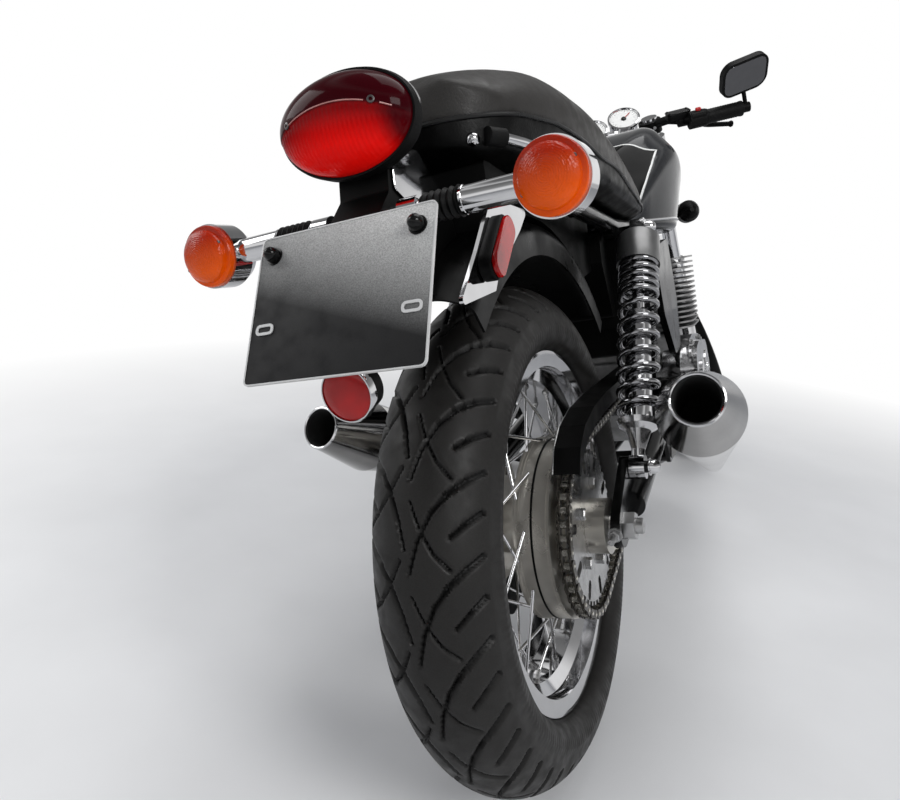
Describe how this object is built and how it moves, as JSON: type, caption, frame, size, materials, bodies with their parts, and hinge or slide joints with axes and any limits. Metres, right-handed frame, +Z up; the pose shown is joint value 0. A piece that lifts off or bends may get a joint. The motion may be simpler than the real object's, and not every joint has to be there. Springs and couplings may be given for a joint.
{
  "type": "cafe racer motorcycle",
  "caption": "Black and chrome cafe racer motorcycle with a humped seat, twin silencers and chain drive, leaning on its side stand.",
  "frame": {"origin": "bottom centre of the box round the parked machine, on the ground", "axes": "+Y forwards as it heads, +X to its right, +Z up; parked on its side stand, it leans to -X"},
  "size_m": [0.653, 2.1374, 1.1333],
  "materials": {
    "black_frame": "gloss black",
    "black_satin": "satin black",
    "steel": "brushed",
    "chain_steel": "oiled steel",
    "chrome": "polished",
    "spring_chrome": "polished",
    "cast_alloy": "as cast",
    "polished_alloy": "polished",
    "fork_alloy": "polished",
    "hub_alloy": "brushed",
    "tank_paint": "gloss graphite",
    "panel_paint": "gloss black",
    "fender_black": "gloss black",
    "seat_leather": "fine grain",
    "red_lens": "clear red",
    "amber_lens": "clear amber",
    "lamp_glass": "clear",
    "plate_white": "blank",
    "grip_rubber": "ribbed",
    "rear_tyre_rubber": "grooved",
    "front_tyre_rubber": "grooved"
  },
  "bodies": {
    "chassis": {"frame": "black_frame", "swingarm": "black_frame", "rear_axle": "steel", "chain": "chain_steel", "chain_guard": "black_satin", "rear_calliper": "black_satin", "shocks": "polished_alloy", "shock_springs": "spring_chrome", "engine_cases": "cast_alloy", "engine_covers": "polished_alloy", "cylinders": "cast_alloy", "carburettors": "polished_alloy", "exhaust_headers": "chrome", "silencers": "chrome", "tank": "tank_paint", "filler_cap": "chrome", "seat": "seat_leather", "side_covers": "panel_paint", "rear_fender": "fender_black", "undertray": "black_satin", "fender_stays": "chrome", "red_reflectors": "red_lens", "lamp_bracket": "black_satin", "tail_lamp_lens": "red_lens", "indicator_bar": "chrome", "rear_indicator_lenses": "amber_lens", "number_plate": "plate_white", "footrests": "black_satin"},
    "steering_group": {"yokes": "fork_alloy", "fork_tubes": "chrome", "fork_sliders": "fork_alloy", "front_calliper": "black_satin", "front_fender": "fender_black", "headlamp": "fender_black", "headlamp_glass": "lamp_glass", "front_indicator_lenses": "amber_lens", "gauges": "chrome", "handlebars": "black_satin", "grips": "grip_rubber", "levers": "black_satin", "mirrors": "black_satin"},
    "front_wheel": {"front_tyre": "front_tyre_rubber", "front_rim": "chrome", "front_hub": "hub_alloy"},
    "rear_wheel": {"rear_tyre": "rear_tyre_rubber", "rear_rim": "chrome", "rear_hub": "hub_alloy", "rear_sprocket": "steel"},
    "stand_leg": {"side_stand": "black_frame"}
  },
  "joints": [
    {"name": "rear_wheel_spin", "type": "hinge", "parent": "chassis", "child": "rear_wheel", "pos_m": [0.08585, -0.69684, 0.31148], "axis": [0.9659, 0, 0.2588], "continuous": true},
    {"name": "steering", "type": "hinge", "parent": "chassis", "child": "steering_group", "pos_m": [0.09488, 0.72796, 0.27777], "axis": [-0.2312, -0.4494, 0.8629], "range_deg": [-56, 0]},
    {"name": "front_wheel_spin", "type": "hinge", "parent": "steering_group", "child": "front_wheel", "pos_m": [0.0624, 0.77403, 0.29306], "axis": [0.7983, 0.4194, 0.4323], "continuous": true},
    {"name": "side_stand_fold", "type": "hinge", "parent": "chassis", "child": "stand_leg", "pos_m": [0.02852, 0.04754, 0.16996], "axis": [-0.7289, 0.0684, 0.6812], "range_deg": [0, 104.46]}
  ]
}
